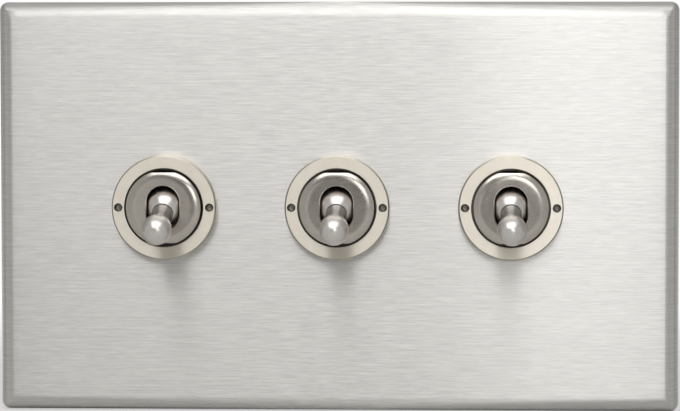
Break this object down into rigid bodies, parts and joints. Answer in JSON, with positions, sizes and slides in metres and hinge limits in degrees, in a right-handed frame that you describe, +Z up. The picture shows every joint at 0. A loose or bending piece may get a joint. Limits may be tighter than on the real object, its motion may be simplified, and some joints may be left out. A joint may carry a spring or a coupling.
{
  "type": "toggle wall switch",
  "caption": "Rectangular brushed-steel wall switch plate with rounded edges and a row of toggle levers in slotted bushes held by ring nuts, with the switches, yoke and screws behind it.",
  "frame": {"origin": "midway between the two wall-box screws, on the wall", "axes": "+X to the right seen from the front, +Y into the wall, +Z up"},
  "size_m": [0.147, 0.0425, 0.0886],
  "materials": {
    "brushed_plate": "fine brushing along the plate's length",
    "satin_nickel": "satin nickel plate",
    "bright_nickel": "bright nickel plate",
    "lever_nickel": "satin nickel plate, polished at the ball",
    "zinc_steel": "bright zinc plate",
    "spring_steel": "drawn wire",
    "terminal_brass": "sawn and drilled",
    "screw_brass": "turned",
    "contact_copper": "rolled strip",
    "nylon": "moulded",
    "moulding": "moulded, fine grain"
  },
  "bodies": {
    "frame": {"front_plate": "brushed_plate", "plate_liner": "moulding", "mounting_yoke": "zinc_steel", "fixing_screws": "zinc_steel", "earth_terminal": "terminal_brass", "earth_screw": "screw_brass", "ring_nut_1": "satin_nickel", "bush_1": "bright_nickel", "pivot_pin_1": "spring_steel", "switch_cover_1": "moulding", "switch_base_1": "moulding", "com_terminal_1": "terminal_brass", "way1_terminal_1": "terminal_brass", "way2_terminal_1": "terminal_brass", "terminal_screws_1": "screw_brass", "assembly_screws_1": "zinc_steel", "ring_nut_2": "satin_nickel", "bush_2": "bright_nickel", "pivot_pin_2": "spring_steel", "switch_cover_2": "moulding", "switch_base_2": "moulding", "com_terminal_2": "terminal_brass", "way1_terminal_2": "terminal_brass", "way2_terminal_2": "terminal_brass", "terminal_screws_2": "screw_brass", "assembly_screws_2": "zinc_steel", "ring_nut_3": "satin_nickel", "bush_3": "bright_nickel", "pivot_pin_3": "spring_steel", "switch_cover_3": "moulding", "switch_base_3": "moulding", "com_terminal_3": "terminal_brass", "way1_terminal_3": "terminal_brass", "way2_terminal_3": "terminal_brass", "terminal_screws_3": "screw_brass", "assembly_screws_3": "zinc_steel"},
    "dolly_1": {"dolly_1": "lever_nickel", "spring_1": "spring_steel"},
    "plunger_1": {"plunger_1": "nylon"},
    "rocker_1": {"rocker_1": "contact_copper"},
    "dolly_2": {"dolly_2": "lever_nickel", "spring_2": "spring_steel"},
    "plunger_2": {"plunger_2": "nylon"},
    "rocker_2": {"rocker_2": "contact_copper"},
    "dolly_3": {"dolly_3": "lever_nickel", "spring_3": "spring_steel"},
    "plunger_3": {"plunger_3": "nylon"},
    "rocker_3": {"rocker_3": "contact_copper"}
  },
  "joints": [
    {"name": "dolly_1_tilt", "type": "hinge", "parent": "frame", "child": "dolly_1", "pos_m": [-0.0372, -0.0063, 0], "axis": [-1, 0, 0], "range_deg": [0, 40]},
    {"name": "plunger_1_slide", "type": "slide", "parent": "dolly_1", "child": "plunger_1", "axis": [0, 0.9397, 0.342], "range_m": [-0.0008, 0], "stiffness_N_per_m": 600, "springref_m": 0.001, "deforming": ["spring_1"]},
    {"name": "rocker_1_tilt", "type": "hinge", "parent": "frame", "child": "rocker_1", "pos_m": [-0.0372, 0.00802, 0], "axis": [-1, 0, 0], "range_deg": [-16, 0]},
    {"name": "dolly_2_tilt", "type": "hinge", "parent": "frame", "child": "dolly_2", "pos_m": [0, -0.0063, 0], "axis": [-1, 0, 0], "range_deg": [0, 40]},
    {"name": "plunger_2_slide", "type": "slide", "parent": "dolly_2", "child": "plunger_2", "axis": [0, 0.9397, 0.342], "range_m": [-0.0008, 0], "stiffness_N_per_m": 600, "springref_m": 0.001, "deforming": ["spring_2"]},
    {"name": "rocker_2_tilt", "type": "hinge", "parent": "frame", "child": "rocker_2", "pos_m": [0, 0.00802, 0], "axis": [-1, 0, 0], "range_deg": [-16, 0]},
    {"name": "dolly_3_tilt", "type": "hinge", "parent": "frame", "child": "dolly_3", "pos_m": [0.0372, -0.0063, 0], "axis": [-1, 0, 0], "range_deg": [0, 40]},
    {"name": "plunger_3_slide", "type": "slide", "parent": "dolly_3", "child": "plunger_3", "axis": [0, 0.9397, 0.342], "range_m": [-0.0008, 0], "stiffness_N_per_m": 600, "springref_m": 0.001, "deforming": ["spring_3"]},
    {"name": "rocker_3_tilt", "type": "hinge", "parent": "frame", "child": "rocker_3", "pos_m": [0.0372, 0.00802, 0], "axis": [-1, 0, 0], "range_deg": [-16, 0]}
  ],
  "couplings": [
    {"joint": "rocker_1_tilt", "follows": "dolly_1_tilt", "ratio": -0.4},
    {"joint": "rocker_2_tilt", "follows": "dolly_2_tilt", "ratio": -0.4},
    {"joint": "rocker_3_tilt", "follows": "dolly_3_tilt", "ratio": -0.4}
  ]
}
